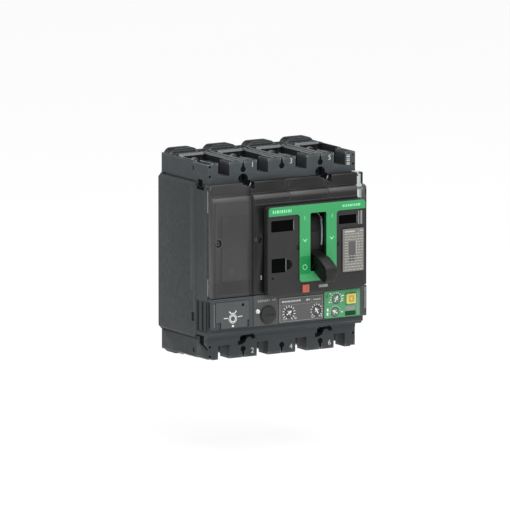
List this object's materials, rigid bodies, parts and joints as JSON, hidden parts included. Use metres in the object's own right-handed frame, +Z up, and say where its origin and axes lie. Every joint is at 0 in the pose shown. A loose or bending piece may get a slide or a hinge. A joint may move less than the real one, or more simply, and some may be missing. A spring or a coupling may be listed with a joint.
{
  "type": "moulded case circuit breaker",
  "caption": "Moulded-case circuit breaker: dark insulating case, smoked front covers, green-framed toggle, trip unit with dials and screw terminals at both ends.",
  "frame": {"origin": "centre of the rear mounting plane", "axes": "+X to the right seen from the front, -Y out of the front, +Z up; line terminals at +Z"},
  "size_m": [0.14, 0.1095, 0.161],
  "materials": {
    "case": "fine-grained moulded thermoset, satin",
    "smoked": "smoked translucent polycarbonate",
    "fascia": "fine-grained black moulding",
    "green": "satin green moulding",
    "label": "printed grey label",
    "tripgrey": "grey setting panel",
    "tripgreen": "green setting panel",
    "handle": "black moulding, lightly polished by use",
    "copper": "tin-plated copper",
    "steel": "zinc-plated steel",
    "arcsteel": "plain steel plates",
    "rotor": "glass-filled moulding",
    "coil": "coil bobbin moulding",
    "red": "satin red",
    "yellow": "satin yellow",
    "dial": "grey moulding",
    "led": "milky lens"
  },
  "bodies": {
    "case": {"rear_base": "case", "front_housing": "case", "neutral_cover": "smoked", "main_cover": "smoked", "fascia": "fascia", "escutcheon": "green", "nameplate": "label", "trip_unit_housing": "fascia", "settings_plate": "tripgrey", "leakage_plate": "tripgreen", "neutral_lower_cover": "case", "neutral_plate": "tripgrey", "status_led": "led", "test_connector_cap": "fascia", "mechanism_frame": "steel", "main_spring": "steel", "trip_actuator": "coil", "neutral_cover_screw": "steel", "main_cover_screw": "steel", "line_terminal_1": "copper", "load_terminal_1": "copper", "line_screw_1": "steel", "load_screw_1": "steel", "line_arc_chute_1": "arcsteel", "load_arc_chute_1": "arcsteel", "current_sensor_1": "coil", "line_terminal_2": "copper", "load_terminal_2": "copper", "line_screw_2": "steel", "load_screw_2": "steel", "line_arc_chute_2": "arcsteel", "load_arc_chute_2": "arcsteel", "current_sensor_2": "coil", "line_terminal_3": "copper", "load_terminal_3": "copper", "line_screw_3": "steel", "load_screw_3": "steel", "line_arc_chute_3": "arcsteel", "load_arc_chute_3": "arcsteel", "current_sensor_3": "coil", "line_terminal_4": "copper", "load_terminal_4": "copper", "line_screw_4": "steel", "load_screw_4": "steel", "line_arc_chute_4": "arcsteel", "load_arc_chute_4": "arcsteel", "current_sensor_4": "coil"},
    "toggle": {"toggle_handle": "handle"},
    "contacts": {"contact_shaft": "rotor", "moving_contact_1": "copper", "moving_contact_2": "copper", "moving_contact_3": "copper", "moving_contact_4": "copper"},
    "trip_button": {"trip_button": "red"},
    "trip_bar": {"trip_bar": "steel"},
    "test_button": {"test_button": "yellow"},
    "dial_current": {"dial_current": "dial"},
    "dial_delay": {"dial_delay": "dial"},
    "dial_sensitivity": {"dial_sensitivity": "dial"},
    "dial_time": {"dial_time": "dial"}
  },
  "joints": [
    {"name": "toggle_swing", "type": "hinge", "parent": "case", "child": "toggle", "pos_m": [0.02075, -0.045, 0.012], "axis": [-1, 0, 0], "range_deg": [0, 34.6]},
    {"name": "contact_swing", "type": "hinge", "parent": "case", "child": "contacts", "pos_m": [0, -0.028, 0], "axis": [-1, 0, 0], "range_deg": [0, 38.2]},
    {"name": "trip_press", "type": "slide", "parent": "case", "child": "trip_button", "axis": [0, 1, 0], "range_m": [0, 0.0015]},
    {"name": "trip_bar_turn", "type": "hinge", "parent": "case", "child": "trip_bar", "pos_m": [0.0225, -0.0583, -0.0249], "axis": [-1, 0, 0], "range_deg": [0, 30.2]},
    {"name": "test_press", "type": "slide", "parent": "case", "child": "test_button", "axis": [0, 1, 0], "range_m": [0, 0.0015]},
    {"name": "dial_current_turn", "type": "hinge", "parent": "case", "child": "dial_current", "pos_m": [-0.0014, -0.079, -0.0433], "axis": [0, 1, 0], "range_deg": [-135, 135]},
    {"name": "dial_delay_turn", "type": "hinge", "parent": "case", "child": "dial_delay", "pos_m": [0.0238, -0.079, -0.0436], "axis": [0, 1, 0], "range_deg": [-135, 135]},
    {"name": "dial_sensitivity_turn", "type": "hinge", "parent": "case", "child": "dial_sensitivity", "pos_m": [0.0415, -0.079, -0.036], "axis": [0, 1, 0], "range_deg": [-135, 135]},
    {"name": "dial_time_turn", "type": "hinge", "parent": "case", "child": "dial_time", "pos_m": [0.0405, -0.079, -0.0461], "axis": [0, 1, 0], "range_deg": [-135, 135]}
  ],
  "couplings": [
    {"joint": "contact_swing", "follows": "toggle_swing", "ratio": 1.1},
    {"joint": "trip_bar_turn", "follows": "trip_press", "rad_per_m": 349}
  ]
}
